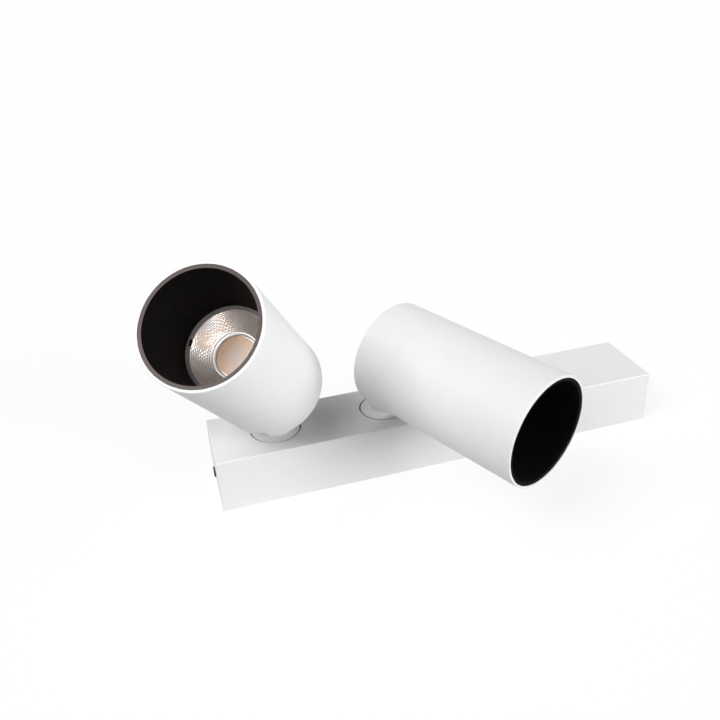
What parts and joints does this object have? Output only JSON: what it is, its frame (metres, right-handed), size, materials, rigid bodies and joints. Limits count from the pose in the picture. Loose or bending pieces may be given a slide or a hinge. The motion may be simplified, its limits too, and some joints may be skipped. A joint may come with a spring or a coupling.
{
  "type": "twin surface spotlight",
  "caption": "Twin cylindrical spotlight heads on tilting swivels, carried by a long flat box base with its driver inside.",
  "frame": {"origin": "centre of the base's back face, in the plane of the ceiling or wall that it is screwed to", "axes": "+X along the base from the end with the swivels to the end with the driver, +Z away from the mounting surface, -Y towards the side that both heads face in the picture"},
  "size_m": [0.2977, 0.1388, 0.1578],
  "materials": {
    "white_paint": "fine matt white powder coat",
    "zinc_plate": "bright zinc plated sheet",
    "dark_screw": "black plated steel",
    "steel_screw": "plated steel",
    "black_rubber": "matt",
    "brass": "bright",
    "driver_plastic": "fine spark texture",
    "terminal_plastic": "smooth",
    "seat_plastic": "glass filled, matt",
    "nylon": "smooth",
    "sink_aluminium": "die cast, blasted",
    "board_aluminium": "bright",
    "phosphor": "satin",
    "holder_plastic": "gloss",
    "mirror_coat": "vacuum coated facets",
    "grey_plastic": "satin",
    "black_baffle": "matt"
  },
  "bodies": {
    "base": {"base_housing": "white_paint", "mounting_plate": "zinc_plate", "end_screws": "dark_screw", "cable_grommet": "black_rubber", "earth_screw": "brass", "driver_case": "driver_plastic", "driver_lid": "driver_plastic", "driver_screws": "steel_screw", "terminal_block": "terminal_plastic", "terminal_screws": "brass", "left_swivel_seat": "seat_plastic", "right_swivel_seat": "seat_plastic", "seat_nuts": "steel_screw", "stop_pins": "steel_screw"},
    "left_swivel": {"left_swivel_disc": "white_paint", "left_swivel_arm": "white_paint", "left_friction_washer": "nylon", "left_wave_washer": "steel_screw", "left_swivel_nut": "steel_screw"},
    "left_head": {"left_head_tube": "white_paint", "left_heat_sink": "sink_aluminium", "left_rear_cap": "white_paint", "left_head_screws": "steel_screw", "left_tilt_pin": "steel_screw", "left_tilt_washers": "nylon", "left_led_board": "board_aluminium", "left_led_source": "phosphor", "left_source_holder": "holder_plastic", "left_reflector": "mirror_coat", "left_reflector_cage": "grey_plastic", "left_baffle": "black_baffle"},
    "right_swivel": {"right_swivel_disc": "white_paint", "right_swivel_arm": "white_paint", "right_friction_washer": "nylon", "right_wave_washer": "steel_screw", "right_swivel_nut": "steel_screw"},
    "right_head": {"right_head_tube": "white_paint", "right_heat_sink": "sink_aluminium", "right_rear_cap": "white_paint", "right_head_screws": "steel_screw", "right_tilt_pin": "steel_screw", "right_tilt_washers": "nylon", "right_led_board": "board_aluminium", "right_led_source": "phosphor", "right_source_holder": "holder_plastic", "right_reflector": "mirror_coat", "right_reflector_cage": "grey_plastic", "right_baffle": "black_baffle"}
  },
  "joints": [
    {"name": "left_pan", "type": "hinge", "parent": "base", "child": "left_swivel", "pos_m": [-0.0973, 0, 0.0327], "axis": [0, 0, 1], "range_deg": [-151.4, 28.6]},
    {"name": "left_tilt", "type": "hinge", "parent": "left_swivel", "child": "left_head", "pos_m": [-0.10439, -0.01299, 0.0572], "axis": [0.878, -0.4787, 0], "range_deg": [-46, 48]},
    {"name": "right_pan", "type": "hinge", "parent": "base", "child": "right_swivel", "pos_m": [-0.0313, 0, 0.0327], "axis": [0, 0, 1], "range_deg": [-26.6, 153.4]},
    {"name": "right_tilt", "type": "hinge", "parent": "right_swivel", "child": "right_head", "pos_m": [-0.02467, -0.01323, 0.0572], "axis": [0.8942, 0.4478, 0], "range_deg": [-93.2, 0.8]}
  ]
}
